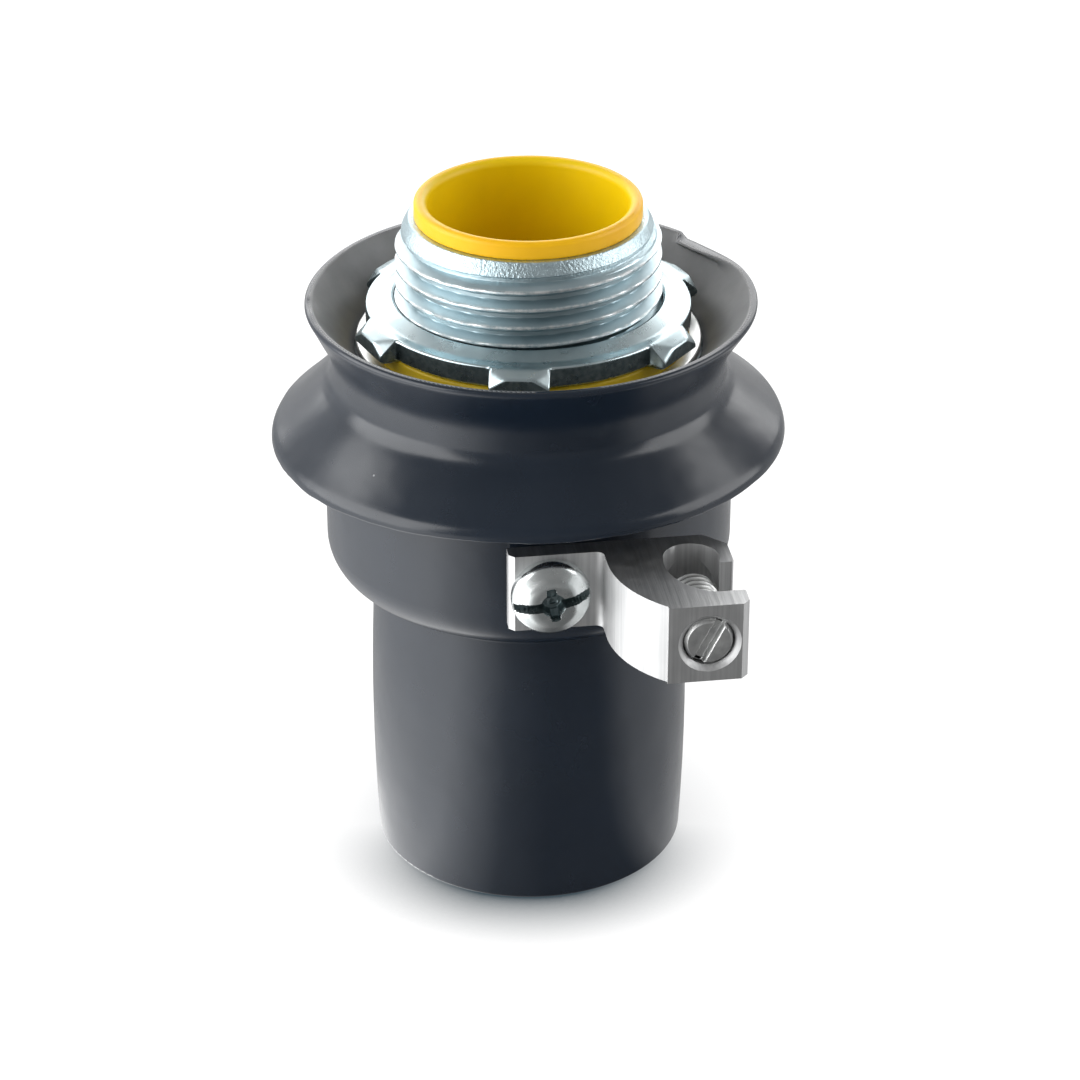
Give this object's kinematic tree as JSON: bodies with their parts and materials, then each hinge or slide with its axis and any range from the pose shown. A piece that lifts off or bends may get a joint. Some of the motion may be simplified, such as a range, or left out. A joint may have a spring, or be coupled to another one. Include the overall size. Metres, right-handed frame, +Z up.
{
  "type": "liquidtight conduit connector",
  "caption": "Straight plastic-coated liquidtight conduit connector with threaded hub, insulated throat, locknut, sealing ring, gland nut and ground lug.",
  "frame": {"origin": "centre of the sleeve's mouth, on the plane the connector stands on", "axes": "+Z up the connector's axis from the conduit end to the hub thread; the ground lug is at the front, towards -Y"},
  "size_m": [0.0515, 0.0601, 0.0709],
  "materials": {
    "body_zinc": "zinc plated, bright, fine cast grain on the nose",
    "throat_yellow": "moulded, satin gloss",
    "seal_yellow": "soft, matt",
    "retainer_steel": "bright stamped steel",
    "locknut_zinc": "zinc plated, bright",
    "coat_pvc": "dark slate grey, satin, dipped",
    "gland_steel": "zinc plated",
    "ring_nylon": "natural nylon",
    "ferrule_steel": "zinc plated, formed sheet",
    "lug_aluminium": "extruded, sawn and brushed",
    "screw_zinc": "zinc plated",
    "set_screw_steel": "plain steel, turned face"
  },
  "bodies": {
    "connector": {"connector_body": "body_zinc", "insulated_throat": "throat_yellow", "body_coat": "coat_pvc", "ferrule": "ferrule_steel"},
    "seal": {"sealing_ring": "seal_yellow", "seal_retainer": "retainer_steel"},
    "locknut": {"locknut": "locknut_zinc"},
    "squeeze_ring": {"compression_ring": "ring_nylon"},
    "gland": {"gland_nut": "gland_steel", "gland_nut_coat": "coat_pvc", "ground_lug": "lug_aluminium", "lug_screw": "screw_zinc"},
    "set_screw": {"set_screw": "set_screw_steel"}
  },
  "joints": [
    {"name": "locknut_turn", "type": "hinge", "parent": "connector", "child": "seal", "pos_m": [0, 0, 0.0579], "axis": [0, 0, 1], "range_deg": [0, 1440]},
    {"name": "locknut_travel", "type": "slide", "parent": "seal", "child": "locknut", "axis": [0, 0, 1], "range_m": [0, 0.00726]},
    {"name": "gland_travel", "type": "slide", "parent": "connector", "child": "squeeze_ring", "axis": [0, 0, -1], "range_m": [0, 0.0075]},
    {"name": "gland_turn", "type": "hinge", "parent": "squeeze_ring", "child": "gland", "pos_m": [0, 0, 0.0396], "axis": [0, 0, -1], "range_deg": [0, 1800]},
    {"name": "set_screw_travel", "type": "slide", "parent": "gland", "child": "set_screw", "axis": [0, -1, 0], "range_m": [-0.0018, 0.007]}
  ],
  "couplings": [
    {"joint": "locknut_travel", "follows": "locknut_turn", "m_per_rad": 0.00028871},
    {"joint": "gland_travel", "follows": "gland_turn", "m_per_rad": 0.00023873}
  ]
}
